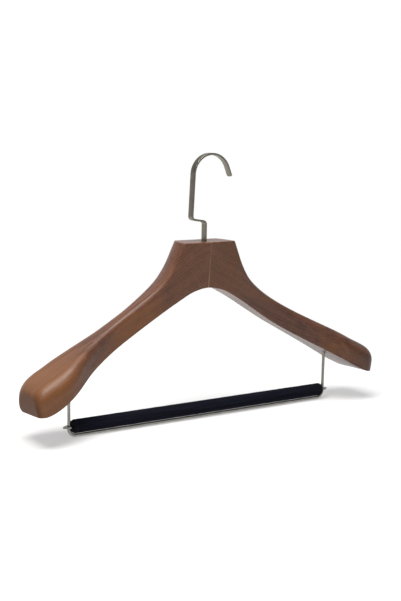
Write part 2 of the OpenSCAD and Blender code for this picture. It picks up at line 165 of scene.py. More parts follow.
def light_studio():
    """White surround for the camera and for reflections, soft overhead panel, dim even fill."""
    world = bpy.data.worlds.new("studio")
    world.use_nodes = True
    n = Nodes(world.node_tree)
    path = n.add("LightPath")
    seen = path.outputs["Is Camera Ray"]
    mirrored = n.math("MAXIMUM", path.outputs["Is Glossy Ray"], path.outputs["Is Transmission Ray"])
    # Directions: the wall behind the camera is dim, the far wall and the ceiling are pale, and
    # reflections show the far wall's lower half, right of the hanger, as white as the camera does
    near_fill, near_shine, far_fill, far_shine = 0.16, 0.10, 0.33, 0.90
    horizon, ceiling = 0.12, 0.5
    x, y, z = n.add("SeparateXYZ", {0: n.add("TexCoord").outputs["Generated"]}).outputs
    far_wall = n.spread(y, -0.75, 0.55)
    shade = n.math("MULTIPLY", n.spread(x, -0.75, 0.1, 0.22, 1.0), n.spread(z, 0.1, 0.6, 1.0, 0.4))
    shine = n.math("MULTIPLY_ADD", shade, far_shine, -far_fill)
    far = n.math("MULTIPLY_ADD", mirrored, shine, far_fill)
    near = n.spread(mirrored, 0.0, 1.0, near_fill, near_shine)
    walls = n.math("MULTIPLY_ADD", far_wall, far, near)
    strength = n.math("MAXIMUM", walls, n.spread(z, 0.15, 0.9, horizon, ceiling))
    fill = n.add("Background", {"Color": (0.95, 0.97, 1.0, 1.0), "Strength": strength})
    white = n.add("Background", {"Color": (1.0, 1.0, 1.0, 1.0), "Strength": 1.0})
    both = n.add("MixShader", {0: seen, 1: fill.outputs[0], 2: white.outputs[0]})
    n.add("OutputWorld", {"Surface": both.outputs[0]})
    bpy.context.scene.world = world

    def panel(name, place, aim, width, height, watts, colour):
        """A rectangular lamp at place that faces aim."""
        lamp = bpy.data.lights.new(name, "AREA")
        lamp.shape = "RECTANGLE"
        lamp.size, lamp.size_y = width, height
        lamp.energy = watts
        lamp.color = colour
        stand = bpy.data.objects.new(name, lamp)
        place, aim = np.array(place, float), np.array(aim, float)
        back = (place - aim) / np.linalg.norm(place - aim)
        steep = abs(back[2]) > 0.9
        side = np.cross((0.0, 1.0, 0.0) if steep else (0.0, 0.0, 1.0), back)
        side /= np.linalg.norm(side)
        turn = np.eye(4)
        turn[:3, 0], turn[:3, 1], turn[:3, 2] = side, np.cross(back, side), back
        turn[:3, 3] = place
        stand.matrix_world = Matrix(turn.tolist())
        bpy.context.scene.collection.objects.link(stand)

    panel("overhead", (-0.40, -0.25, 1.15), (0.0, 0.0, -0.15), 1.0, 0.75, 27.0, (1.0, 0.98, 0.95))
    panel("left_panel", (-1.1, -0.9, 0.7), (0.0, 0.0, -0.1), 0.6, 0.6, 1.0, (1.0, 0.97, 0.93))


def lay_floor():
    """A pale floor through the lowest point of the wire; it fades to plain white further away."""
    size, level, glow, fade_from, fade_to = 6.0, -0.27977, 0.37, 0.45, 0.8
    mesh = bpy.data.meshes.new("floor")
    mesh.from_pydata([(-size, -size, level), (size, -size, level), (size, size, level),
                      (-size, size, level)], [], [(0, 1, 2, 3)])
    floor = bpy.data.objects.new("floor", mesh)
    bpy.context.scene.collection.objects.link(floor)
    material, n = new_material("floor_paper")
    path = n.add("LightPath")
    seen = n.math("MAXIMUM", path.outputs["Is Camera Ray"], path.outputs["Is Glossy Ray"])
    away = n.add("VectorMath", {0: n.object_space()}, operation="LENGTH").outputs["Value"]
    far = n.spread(away, fade_from, fade_to)
    paper = n.add("BsdfDiffuse", {"Color": (0.6, 0.6, 0.6, 1.0)})
    lift = n.add("Emission", {"Color": (1, 1, 1, 1), "Strength": n.math("MULTIPLY", seen, glow)})
    near = n.add("AddShader", {0: paper.outputs[0], 1: lift.outputs[0]})
    white = n.add("Emission", {"Color": (1, 1, 1, 1), "Strength": 1.0})
    both = n.add("MixShader", {0: n.math("MULTIPLY", far, seen), 1: near.outputs[0],
                               2: white.outputs[0]})
    n.add("OutputMaterial", {"Surface": both.outputs[0]})
    mesh.materials.append(material)


stand_camera()
light_studio()
lay_floor()

# ---------------------------------------------------------------- sizes, as in the part's source
ARM_REACH, ARM_HEIGHT, SHOULDER_DROP = 228.0, 28.0, 169.0
BACK_STAND = 23.5
NECK_HALF, NECK_HEIGHT, NECK_LEAN, NECK_TAPER = 34.0, 52.5, 5.2, 6.5
SHOULDER_ROUND, ARM_ROUND, BACK_ROUND = 17.0, 6.0, 13.0
TIP_BULGE, TIP_ROUND, BACK_TUCK, TUCK_HEIGHT, FOOT_DROP = 2.8, 23.0, 4.0, 14.0, 3.0
BUSHING_D, BUSHING_LEN, STEM_D, GLUE_GAP = 9.0, 14.0, 5.8, 0.05
STRIP_W, STRIP_T, STRIP_EDGE, RAIL_R, RAIL_HEIGHT = 8.5, 2.4, 0.6, 22.5, 75.0
JOG_OFFSET, JOG_HEIGHT, JOG_RISE, JOG_BEND = 18.5, 22.5, math.radians(9), 4.0
SHANK_LEAN, TIP_ANGLE, TIP_LEN, TIP_CORNER = math.radians(2.7), math.radians(22), 11.5, 2.0
LEG_INSET, FRAME_DROP, FRAME_FRONT, WIRE_D, CORNER_R, LEG_GRIP = 52.5, 203.0, 7.7, 3.5, 8.0, 14.0
MOUTH_D, MOUTH_DEPTH = 5.0, 2.0
BAR_D, BAR_GAP, CAP_RIM, SLEEVE_T = 15.4, 0.6, 6.0, 1.1
STEM_FOOT, STEM_HOLE_FLOOR, STEM_HOLE_R = 22.3, 24.0, 3.2
LEG_X = ARM_REACH - LEG_INSET
BAR_Z = -FRAME_DROP + WIRE_D / 2 + BAR_GAP + BAR_D / 2
BAR_HALF = LEG_X - WIRE_D / 2 - BAR_GAP
BODY_HALF = BAR_HALF - CAP_RIM
# Fall of the grain along each arm
GRAIN_SLOPE = math.radians(29)
# Edges sharper than these angles stay sharp: carved, swept, flocked and copied pieces
CARVED, SWEPT, FLOCKED, COPIED = map(math.radians, (40, 50, 60, 35))


# ---------------------------------------------------------------- meshes
def add_mesh(name, points, faces, sharp):
    """One mesh object in the row frame; edges sharper than the given angle stay sharp."""
    mesh = bpy.data.meshes.new(name)
    mesh.from_pydata(to_row(points).tolist(), [], faces)
    mesh.validate()
    mesh.shade_smooth()
    mesh.set_sharp_from_angle(angle=sharp)
    piece = bpy.data.objects.new(name, mesh)
    bpy.context.scene.collection.objects.link(piece)
    return piece


def apply_modifiers(piece, sharp):
    """Gives the piece the mesh that its modifiers make of its own."""
    bpy.context.view_layer.update()
    shaped = piece.evaluated_get(bpy.context.evaluated_depsgraph_get())
    done = bpy.data.meshes.new_from_object(shaped)
    old = piece.data
    piece.modifiers.clear()
    done.name = old.name
    piece.data = done
    done.shade_smooth()
    done.set_sharp_from_angle(angle=sharp)
    bpy.data.meshes.remove(old)
    return done


def grid_faces(rows, columns, first=0, looped=False):
    """Outward quads between rings of points; looped joins the last ring to the first as well."""
    i, j = np.meshgrid(np.arange(rows if looped else rows - 1), np.arange(columns), indexing="ij")
    ring, after = first + i * columns, first + (i + 1) % rows * columns
    beside = (j + 1) % columns
    quads = np.stack([ring + beside, after + beside, after + j, ring + j], -1)
    return quads.reshape(-1, 4).tolist()


def fan_faces(ring, centre, outwards):
    """Triangles from a ring of point numbers to a centre."""
    after = np.roll(ring, -1)
    middle = np.full_like(ring, centre)
    return np.stack([ring, after, middle] if outwards else [ring, middle, after], -1).tolist()


def closed_skin(skin, ends):
    """Points and faces of a skin of rings, with a fan from each end ring to its centre in ends."""
    rows, columns = skin.shape[:2]
    ring, count = np.arange(columns), rows * columns
    points = np.concatenate([skin.reshape(-1, 3), ends])
    faces = [*grid_faces(rows, columns), *fan_faces(ring, count, False),
             *fan_faces(count - columns + ring, count + 1, True)]
    return points, faces


# ---------------------------------------------------------------- wooden arms
def curve(x, rows, level=True):
    """Hermite cubic through rows [x, value]; a row's slope is that of the chord between its
    neighbours, and the first is level, or that of the first chord."""
    rows = np.asarray(rows, float)
    x = np.asarray(x, float)
    n = len(rows) - 1
    i = np.clip(np.searchsorted(rows[:, 0], x, side="right") - 1, 0, n - 1)

    def rise(k):
        low, high = np.maximum(k - 1, 0), np.minimum(k + 1, n)
        slope = (rows[high, 1] - rows[low, 1]) / (rows[high, 0] - rows[low, 0])
        return np.where((k == 0) & level, 0.0, slope)

    a, b = rows[i], rows[i + 1]
    h = b[..., 0] - a[..., 0]
    u = np.clip((x - a[..., 0]) / h, 0, 1)
    return (a[..., 1] * (2 * u**3 - 3 * u**2 + 1) + rise(i) * h * (u**3 - 2 * u**2 + u)
            + b[..., 1] * (3 * u**2 - 2 * u**3) + rise(i + 1) * h * (u**3 - u**2))


def along_arm(rows, scale):
    """Rows of [share of the arm's reach, share of scale] in millimetres."""
    rows = np.array(rows, float)
    rows[:, 0] *= ARM_REACH
    rows[:, 1] *= scale
    return rows


def smoothed(rows, level=True, reach=9.0):
    """The curve through rows, averaged over a raised-cosine window of the given half width. Past
    its ends it goes on straight, or is mirrored at a level start. Returned as a function."""
    step = 0.05
    first, last = rows[0][0], rows[-1][0]
    x = np.arange(first - 3 * reach, last + 3 * reach, step)
    inside = np.clip(np.where(level & (x < first), 2 * first - x, x), first, last)
    value = curve(inside, rows, level)
    if not level:
        rise = curve(first + step, rows, level) - curve(first, rows, level)
        value += np.minimum(x - first, 0) * rise / step
    rise = curve(last, rows, level) - curve(last - step, rows, level)
    value += np.maximum(x - last, 0) * rise / step
    window = 1 + np.cos(np.linspace(-math.pi, math.pi, int(2 * reach / step) + 1))
    padded = np.pad(value, len(window) // 2, mode="edge")
    value = np.convolve(padded, window / window.sum(), "valid")
    return lambda q: np.interp(q, x, value)


# Heights of the arm's underside and top line
UNDERSIDE = along_arm([
    [0, 0], [0.09, 0.035], [0.15, 0.093], [0.22, 0.172], [0.31, 0.284], [0.42, 0.418],
    [0.54, 0.55], [0.67, 0.691], [0.78, 0.817], [0.88, 0.932], [0.95, 0.99], [1, 1]],
    NECK_HEIGHT - SHOULDER_DROP)
UNDERSIDE[:, 1] -= NECK_HEIGHT
FLANK = np.array([[0, 0], [0.1, 0.23], [0.2, 0.46], [0.34, 0.692], [0.5, 0.882]])
FLANK = FLANK * [NECK_HEIGHT, -NECK_HEIGHT]
FLANK[:, 0] += NECK_HALF
HEIGHT = along_arm([
    [0.35, 1.06], [0.45, 1.03], [0.57, 1.035], [0.7, 1.09], [0.81, 1.155], [0.9, 1.18],
    [1, 1.15]], ARM_HEIGHT)
HEIGHT[:, 1] += curve(HEIGHT[:, 0], UNDERSIDE)
TOP = np.concatenate([FLANK, HEIGHT])
# Where the front and back faces stand
FRONT = along_arm([
    [0, 11.0], [0.15, 10.6], [0.22, 9.1], [0.31, 6.5], [0.42, 5.0], [0.54, 8.6], [0.67, 20.2],
    [0.78, 37.4], [0.83, 42.4], [0.88, 44.9], [0.94, 45.4], [1, 44.3]], -1.0)
BACK = along_arm([
    [0, 1.02], [0.15, 0.95], [0.3, 0.87], [0.42, 0.83], [0.54, 0.81], [0.67, 0.83],
    [0.78, 0.86], [0.86, 0.88], [0.93, 0.86], [1, 0.81]], BACK_STAND)
# How round the top's front and back edges are
ROUND_FRONT = np.array([[x * ARM_REACH, a * ARM_ROUND + b * SHOULDER_ROUND] for x, a, b in (
    (0, 0.2, 0), (0.158, 0.2, 0), (0.21, 0.55, 0), (0.3, 0.9, 0), (0.45, 1, 0), (0.57, 1, 0.12),
    (0.7, 0, 0.75), (0.81, 0, 1), (0.92, 0, 0.9), (1, 0, 0.55))])
ROUND_BACK = along_arm([
    [0, 0.09], [0.158, 0.09], [0.21, 0.3], [0.3, 0.62], [0.45, 1], [0.57, 1.15],
    [0.8, 1.15], [0.92, 1.35], [1, 1.3]], BACK_ROUND)
FOOT_REACH = ARM_REACH - TIP_BULGE
TIP_TOP, TIP_FRONT = (TIP_ROUND, 0.63 * TIP_ROUND), (0.46 * TIP_ROUND, 0.33 * TIP_ROUND)
TIP_BACK = (0.78 * TIP_ROUND, 0.63 * TIP_ROUND)
CORNER_FOOT = 0.56 * NECK_HALF
# How far the top edge stands outwards of the underside
LEAN = np.array([[0, 1], [0.15, 0.8], [0.23, 0.62], [0.42, 0.48], [0.67, 0.45], [0.88, 0.42],
                 [0.95, 0.25], [1, 0]])
LEAN = np.stack([CORNER_FOOT + LEAN[:, 0] * (FOOT_REACH - CORNER_FOOT),
                 LEAN[:, 1] * (NECK_HALF - CORNER_FOOT)], 1)

under_z, outline_z = smoothed(UNDERSIDE), smoothed(TOP, False, 5.0)
face_y, rear_y = smoothed(FRONT, True, 13.0), smoothed(BACK, True, 13.0)
front_round, back_round = smoothed(ROUND_FRONT, True, 14.0), smoothed(ROUND_BACK)
lean = smoothed(LEAN, False)


def closing(x, tip):
    """Quarter ellipse that rounds the tip, tip being its [length, depth]: the depth times one less
    the root of one less t squared, where t runs from 0 to 1 over its length."""
    t = np.clip((x - FOOT_REACH + tip[0]) / tip[0], 0, 1)
    return tip[1] * (1 - np.sqrt(1 - t * t))


def ease(t):
    """Smooth step: three t squared less two t cubed, level outside 0 to 1."""
    u = np.clip(t, 0, 1)
    return u * u * (3 - 2 * u)


def top_x(x):
    """x of the top edge at station x, before its corner is eased: across the neck in proportion,
    then the station plus its lean, which fades over the last fifth of the arm."""
    at_tip = lean(FOOT_REACH) * ease(x / FOOT_REACH * 5 - 4)
    return np.where(x <= CORNER_FOOT, x * NECK_HALF / CORNER_FOOT, x + lean(x) - at_tip)


def top_z(x):
    """Height of the top edge: level on the neck, then the outline, less the tip's rounding."""
    return np.where(x <= NECK_HALF, 0.0, outline_z(x)) - closing(x, TIP_TOP)


def front_y(x):
    """The front face's place, moved back by the tip's rounding."""
    x = np.minimum(x, FOOT_REACH)
    return face_y(x) + closing(x, TIP_FRONT)


def back_y(x):
    """The back face's place, moved forward by the tip's rounding."""
    x = np.minimum(x, FOOT_REACH)
    return rear_y(x) - closing(x, TIP_BACK)


def neck_share(x):
    """One at the middle of the neck, nothing from 2.4 half necks outwards."""
    return np.maximum(0, 1 - x / (2.4 * NECK_HALF)) ** 1.2


def top_edge(x):
    """The top edge's x and z at station x. The neck's corner is eased: near it, the edge is the
    mean of the sharp edge over a short window of stations, weighted towards its middle."""
    half, level, fade, tiny = 0.55, 1.6, 1.2, 1e-6
    window = half * np.clip(level - np.abs(x - CORNER_FOOT) / fade, 0, 1) + tiny
    steps = np.linspace(-1, 1, 13)
    xs = x[..., None] + window[..., None] * steps
    weight = 1 - 0.5 * steps**2
    weight /= weight.sum()
    px = top_x(np.maximum(xs, 0))
    return (px * weight).sum(-1), (top_z(px) * weight).sum(-1)


def arm_point(x, across, up):
    """A point of the section at station x: across runs from front to back, up from underside to
    top. Its depth is the front's plus across times the way to the back, and its height the
    underside's plus up times the way to the top edge. The section leans with its top edge. The
    neck leans forward, and tapers by the cube of across towards its back. The underside drops
    towards the back at the foot, and the last tenth swells by up times two less up, which makes
    the end face round outwards."""
    tx, tz = top_edge(x)
    xs = x + (tx - x) * up
    drop_from, drop_over = 0.92, 0.08
    zb = under_z(x) - FOOT_DROP * across * ease((x / FOOT_REACH - drop_from) / drop_over)
    forward = up * NECK_LEAN * neck_share(xs)
    yf, yb = front_y(xs) - forward, back_y(xs) - forward
    taper = (NECK_TAPER * up * across**3 * np.minimum(1, x / CORNER_FOOT)
             * neck_share(np.maximum(0, xs - NECK_HALF)))
    swell = TIP_BULGE * ease(10 * x / FOOT_REACH - 9) * up * (2 - up)
    return np.stack([xs - taper + swell, yf + (yb - yf) * across, zb + (tz - zb) * up], -1)


def section(x, edge=0.5, corner=5, faces=9, top=14, rounds=16):
    """Outline of the sections at stations x as shares [across, up], in order: underside, small
    quarter round, back face, quarter ellipse, top, quarter ellipse, front face, small round."""
    x = x[:, None]
    tx = top_x(x)
    h = top_z(tx) - under_z(x)
    w = back_y(tx) - front_y(tx)
    most_across, most_up = 0.48, 0.8
    fy, fz = np.minimum(most_across, front_round(x) / w), np.minimum(most_up, front_round(x) / h)
    by, bz = np.minimum(most_across, back_round(x) / w), np.minimum(most_up, back_round(x) / h)
    ey, ez = edge / w, edge / h
    turn = np.linspace(0, math.pi / 2, corner + 1)[None, 1:]
    arc = np.linspace(0, math.pi / 2, rounds + 1)[None, 1:]
    run = np.linspace(0, 1, faces + 1)[None, 1:]
    flat = np.linspace(0, 1, top + 1)[None, 1:]
    across = [ey + (1 - 2 * ey) * flat, 1 - ey + ey * np.sin(turn), np.ones_like(x * run),
              1 - by * (1 - np.cos(arc)), 1 - by + (fy + by - 1) * flat, fy * (1 - np.sin(arc)),
              np.zeros_like(x * run), ey * (1 - np.cos(turn))]
    up = [np.zeros_like(x * flat), ez * (1 - np.cos(turn)), ez + (1 - bz - ez) * run,
          1 - bz * (1 - np.sin(arc)), np.ones_like(x * flat), 1 - fz * (1 - np.cos(arc)),
          1 - fz - (1 - fz - ez) * run, ez * (1 - np.sin(turn))]
    across, up = np.concatenate(across, 1), np.concatenate(up, 1)
    # The back face tucks in towards the underside on the shoulder
    tuck_from, tuck_over = 0.6, 0.3
    tuck = BACK_TUCK * ease((x / FOOT_REACH - tuck_from) / tuck_over) / w
    tuck_up = np.minimum(1 - bz, TUCK_HEIGHT / h)
    return across * (1 - tuck * np.maximum(0, 1 - up / tuck_up) ** 2), up


def arm_surface():
    """Points and faces of the right arm: the sections' outlines at stations that crowd towards the
    neck's corner and the tip, closed by rings that shrink to the middle of the end face."""
    crowding, groove_depth, groove_reach, tiny = 0.93, 0.3, 0.5, 1e-6
    neck = np.concatenate([[0, 0.12, 0.3, 0.5], np.linspace(0.8, CORNER_FOOT - 1.6, 22),
                           np.linspace(CORNER_FOOT - 1.4, CORNER_FOOT - 0.1, 12)])
    t = np.linspace(0, 1, 330)
    t = t - crowding * np.sin(2 * math.pi * t) / (2 * math.pi)
    x = np.concatenate([neck, CORNER_FOOT + (FOOT_REACH - CORNER_FOOT) * t])
    across, up = section(x)
    # A fine groove where the two arms meet
    inset = groove_depth * np.clip(1 - x / groove_reach, 0, 1)[:, None, None] ** 2
    half = np.full((len(x), 1), 0.5)
    middle = arm_point(x[:, None], half, half)
    skin = arm_point(np.repeat(x[:, None], across.shape[1], 1), across, up)
    away = middle - skin
    away[..., 0] = 0
    skin = skin + away / np.maximum(np.linalg.norm(away, axis=-1, keepdims=True), tiny) * inset
    shrink = np.linspace(1, 0, 13)[1:-1][:, None]
    ring_across, ring_up = 0.5 + (across[-1] - 0.5) * shrink, 0.5 + (up[-1] - 0.5) * shrink
    cap = arm_point(np.full(ring_across.shape, FOOT_REACH), ring_across, ring_up)
    tip_middle = arm_point(*np.array([FOOT_REACH, 0.5, 0.5])[:, None])[0]
    return closed_skin(np.concatenate([skin, cap]), np.array([middle[0, 0], tip_middle]))


def drill(piece, holes, sides=48):
    """Cuts round holes (x, y, low z, high z, radius), each a closed prism: its rings are the
    radius times the cosine and sine of the angle."""
    turn = np.linspace(0, 2 * math.pi, sides, endpoint=False)
    circle = np.stack([np.cos(turn), np.sin(turn)], -1)
    rings, faces = [], []
    for x, y, low, high, r in holes:
        first = len(rings) * sides
        rings += [np.column_stack([(x, y) + r * circle, np.full(sides, z)]) for z in (low, high)]
        faces += grid_faces(2, sides, first)
        faces += [list(range(first + sides - 1, first - 1, -1)),
                  list(range(first + sides, first + 2 * sides))]
    tool = add_mesh("drill", np.concatenate(rings), faces, CARVED)
    cut = piece.modifiers.new("holes", "BOOLEAN")
    cut.operation, cut.solver, cut.object = "DIFFERENCE", "EXACT", tool
    apply_modifiers(piece, CARVED)
    bpy.data.objects.remove(tool)


def wood(name, side, dark, middle, light, warm):
    """Straight-grained stained wood under satin lacquer. Everything follows the grain, which runs
    down the arm: broad bands, faint growth lines, fibres, flecks, short dark pores, a slight cross
    ripple and warmer patches. The left shoulder is painted lighter and warmer, painted light, and
    the arms darker past the neck, the right one most, painted shade. side is -1 for the left arm
    and 1 for the right."""
    end_stain, glue = (0.062, 0.024, 0.013, 1.0), (0.36, 0.20, 0.11, 1.0)
    material, n = new_material(name)
    space = n.object_space()
    normal = n.add("TexCoord").outputs["Normal"]
    grain = n.place(space, turn=(0, -side * GRAIN_SLOPE, 0))
    # The grain wanders a little off its line
    wander = n.noise(n.place(grain, stretch=(9, 22, 22), shift=(side, 0, 0)), 1.0, 2.0, 0.5)
    off_line = n.add("CombineXYZ", {"Y": n.math("MULTIPLY", wander, 0.006),
                                    "Z": n.math("MULTIPLY", wander, -0.005)}).outputs[0]
    shifted = n.add("VectorMath", {0: grain, 1: off_line}, operation="ADD").outputs[0]
    bands = n.noise(n.place(shifted, stretch=(4, 150, 190)), 1.0, 2.0, 0.55)
    lines = n.add("TexWave", {
        "Vector": n.place(shifted, turn=(math.radians(24), 0, 0)), "Scale": 105.0,
        "Distortion": 2.2, "Detail": 2.0, "Detail Scale": 0.7, "Detail Roughness": 0.6},
        wave_type="BANDS", bands_direction="Z", wave_profile="SIN").outputs["Fac"]
    fibres = n.noise(n.place(shifted, stretch=(30, 1300, 1300)), 1.0, 3.0, 0.65)
    pores = n.noise(n.place(shifted, stretch=(130, 2300, 2300)), 1.0, 1.0, 0.5)
    patches = n.noise(n.place(grain, stretch=(8, 36, 36), shift=(3 * side, 1, 2)), 1.0, 2.5, 0.5)
    flecks = n.noise(n.place(grain, stretch=(170, 560, 560), shift=(2, side, 5)), 1.0, 2.0, 0.55)
    ripple = n.noise(n.place(grain, turn=(0, 0.3, 0), stretch=(330, 30, 30)), 1.0, 1.5, 0.5, 0.2)
    tone = n.total((bands, 0.30), (fibres, 0.26), (lines, 0.10), (flecks, 0.22), (ripple, 0.12))
    # The bands are stronger on the shoulder
    apart = n.math("ABSOLUTE", n.math("ADD", n.part(space, "X"), RAIL[0] / 1000))
    tone = n.math("MULTIPLY_ADD", n.spread(apart, 0.13, 0.19, 0.1, 0.55 - 0.15 * side),
                  n.math("ADD", bands, -0.5), tone)
    colour = n.ramp(tone, [(0.38, dark), (0.50, middle), (0.62, light)])
    # The wood is warmer in patches outside the neck and evenly on the neck; the left shoulder,
    # turned to the light, is painted lighter and warmer: painted light
    patchy = n.math("MULTIPLY", n.spread(patches, 0.40, 0.70, 0.0, 0.7),
                    n.spread(apart, 0.03, 0.07, 0.25, 1.0))
    on_neck = n.spread(apart, 0.03, 0.07, 0.27 + 0.06 * side, 0.0)
    painted_light_on_left_shoulder = n.spread(apart, 0.13, 0.205, 0.0, 0.36 - 0.36 * side)
    warmth_and_painted_light = n.math("MAXIMUM", n.math("MAXIMUM", patchy, on_neck), painted_light_on_left_shoulder)
    colour = n.mix(warmth_and_painted_light, colour, (*warm, 1.0))
    # Pores darken the colour; past the neck the arms are darker too, the right arm most, which is
    # turned from the light: painted shade
    pores_and_painted_shade = n.math("MULTIPLY", n.spread(pores, 0.27, 0.38, 0.6, 1.0),
                    n.spread(apart, 0.04, 0.16, 1.0, 0.90 - 0.05 * side))
    colour = n.dim(colour, pores_and_painted_shade)
    # End grain takes the stain darker and the lacquer thinner
    along = (math.cos(GRAIN_SLOPE), 0.0, -side * math.sin(GRAIN_SLOPE))
    facing = n.math("ABSOLUTE", n.add(
        "VectorMath", {0: normal, 1: along}, operation="DOT_PRODUCT").outputs["Value"])
    end_grain = n.spread(facing, 0.25, 1.0)
    colour = n.mix(n.math("MULTIPLY", end_grain, 0.62), colour, end_stain)
    # Lacquer is thicker on the underside and on the neck's level top
    upward = n.part(normal, "Z")
    thick = n.math("MAXIMUM", n.spread(upward, -0.5, -0.8), n.spread(upward, 0.93, 0.99))
    # Pale glue line at the centre joint
    depth = n.spread(n.part(space, "Z"), -0.125, -0.08, 0.6, 0.2)
    joint = n.spread(apart, 0.0003, 0.0010, 1.0, 0.0)
    colour = n.mix(n.math("MULTIPLY", joint, depth), colour, glue)
    waves = n.noise(n.place(space, stretch=(60, 60, 60)), 1.0, 2.0)
    shader = n.add("BsdfPrincipled", {
        "Base Color": colour, "Roughness": n.spread(fibres, 0.2, 0.8, 0.44, 0.56),
        "Specular IOR Level": n.spread(end_grain, 0.0, 1.0, 0.25, 0.05),
        "Normal": n.bump(n.total((pores, 0.5), (fibres, 0.6)), 0.10, 0.0006),
        "Coat Weight": n.math("MULTIPLY_ADD", thick, 0.5, n.spread(end_grain, 0.0, 1.0, 0.4, 0.16)),
        "Coat Roughness": 0.42, "Coat IOR": 1.5, "Coat Normal": n.bump(waves, 0.05, 0.002)})
    n.add("OutputMaterial", {"Surface": shader.outputs[0]})
    return material


def carve_arms():
    """Both arms: the right arm's surface, mirrored for the left, drilled for the hook's bushing
    and stem and for the frame's legs."""
    points, faces = arm_surface()
    mouth = float(under_z(LEG_X))
    above, below, overlap, slack = 5, 12, 1, 0.5
    stains = np.array([[0.068, 0.0245, 0.0138], [0.116, 0.044, 0.0245], [0.164, 0.066, 0.037],
                       [0.215, 0.080, 0.020]])
    for side, node in ((-1, "left_arm"), (1, "right_arm")):
        turned = faces if side > 0 else [f[::-1] for f in faces]
        piece = add_mesh(node + "_wood", points * [side, 1, 1], turned, CARVED)
        leg_x = side * LEG_X
        drill(piece, [
            (0, 0, -BUSHING_LEN, above, BUSHING_D / 2 + GLUE_GAP),
            (leg_x, -FRAME_FRONT, mouth - below, mouth + MOUTH_DEPTH, MOUTH_D / 2)])
        drill(piece, [
            (0, 0, -STEM_HOLE_FLOOR, overlap - BUSHING_LEN, STEM_HOLE_R),
            (leg_x, -FRAME_FRONT, mouth + overlap, mouth + LEG_GRIP + slack,
             WIRE_D / 2 + GLUE_GAP)])
        # The right arm's stains are darker than the left arm's: painted shade, the right arm being
        # turned from the light
        shade = 0.94 - 0.06 * side
        piece.data.materials.clear()
        piece.data.materials.append(
            wood(node + "_lacquered_wood", side, *(stains * shade).tolist()))
        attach(piece, "hanger")
        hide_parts(node)


carve_arms()


# ---------------------------------------------------------------- metal
def satin_nickel(name, along, tone, painted_light_below=None):
    """Satin plated steel: fine brushing along the piece, faint warm and dull patches. Below the
    given heights it is painted twice as bright as above them: painted light."""
    material, n = new_material(name)
    space = n.object_space()
    brushing = n.noise(n.place(space, stretch=along), 1.0, 2.0, 0.6)
    patches = n.noise(space, 90.0, 3.0, 0.55)
    shades = np.array([[0.165, 0.149, 0.120], [0.200, 0.182, 0.148], [0.240, 0.219, 0.180]]) * tone
    colour = n.ramp(patches, list(zip((0.3, 0.55, 0.8), shades.tolist())))
    # Painted light: full colour below the given heights, half of it above them
    if painted_light_below:
        colour = n.dim(colour, n.spread(n.part(space, "Z"), *painted_light_below, 1.0, 0.5))
    rough = n.math("MULTIPLY_ADD", brushing, 0.12, n.math("MULTIPLY_ADD", patches, 0.08, 0.23))
    shader = n.add("BsdfPrincipled", {
        "Base Color": colour, "Metallic": 1.0, "Roughness": rough,
        "Normal": n.bump(brushing, 0.04, 0.0003)})
    n.add("OutputMaterial", {"Surface": shader.outputs[0]})
    return material


def sweep(path, outline):
    """Carries closed outlines along a path in the XZ plane. path rows are x, z, heading (the
    angle from +Z towards +X, in radians); outline rows are [off the path, across] per path row.
    A point is the path's, plus off times the heading's cosine along X and less off times its sine
    along Z, with across along Y. Both ends are closed by a fan."""
    x, z, heading = path.T[:, :, None]
    off, across = outline[..., 0], outline[..., 1]
    skin = np.stack([x + off * np.cos(heading), across + 0 * x, z - off * np.sin(heading)], -1)
    return closed_skin(skin, np.stack([skin[0].mean(0), skin[-1].mean(0)]))


def walk(moves, start):
    """Path from a start [x, z, heading] through moves: ("run", length, steps) or ("bend", radius,
    turn, steps), a positive turn being clockwise as seen from the front."""
    x, z, heading = start
    rows = [(x, z, heading)]
    for kind, size, *rest in moves:
        if kind == "run":
            s = np.linspace(0, size, rest[0] + 1)[1:]
            rows += [(x + d * math.sin(heading), z + d * math.cos(heading), heading) for d in s]
        else:
            turn, steps = rest
            sign = 1 if turn > 0 else -1
            cx, cz = x + sign * size * math.cos(heading), z - sign * size * math.sin(heading)
            for a in np.linspace(0, turn, steps + 1)[1:]:
                h = heading + a
                rows.append((cx - sign * size * math.cos(h), cz + sign * size * math.sin(h), h))
        x, z, heading = rows[-1]
    return np.array(rows)


def rounded_strip(width, thickness, edge, steps=6):
    """Rounded rectangles [off, across], anticlockwise, one for each row of width and thickness:
    quarter circles about centres that stand one radius inside both sides."""
    width, thickness = width[:, None], thickness[:, None]
    a = np.linspace(0, math.pi / 2, steps + 1)
    r = np.minimum(edge, np.minimum(width, thickness) * 0.49)
    off, across = [], []
    for k, (sx, sy) in enumerate(((1, 1), (-1, 1), (-1, -1), (1, -1))):
        off.append(sx * (thickness / 2 - r) + r * np.cos(a + k * math.pi / 2)[None])
        across.append(sy * (width / 2 - r) + r * np.sin(a + k * math.pi / 2)[None])
    return np.stack([np.concatenate(off, 1), np.concatenate(across, 1)], -1)


def lathe(profile, sides=48):
    """Turns a profile of [radius, height] round +Z: the radius times the angle's cosine and sine,
    at each height. Points and faces, closed at both poles."""
    profile = np.asarray(profile, float)
    a = np.linspace(0, 2 * math.pi, sides, endpoint=False)
    skin = np.stack([profile[:, :1] * np.cos(a), profile[:, :1] * np.sin(a),
                     profile[:, 1:] + 0 * a], -1)
    return closed_skin(skin, np.array([[0, 0, profile[0, 1]], [0, 0, profile[-1, 1]]]))


def join(*parts):
    """Points and faces of several parts as one mesh."""
    points, faces, first = [], [], 0
    for p, f in parts:
        points.append(p)
        faces += [[k + first for k in face] for face in f]
        first += len(p)
    return np.concatenate(points), faces


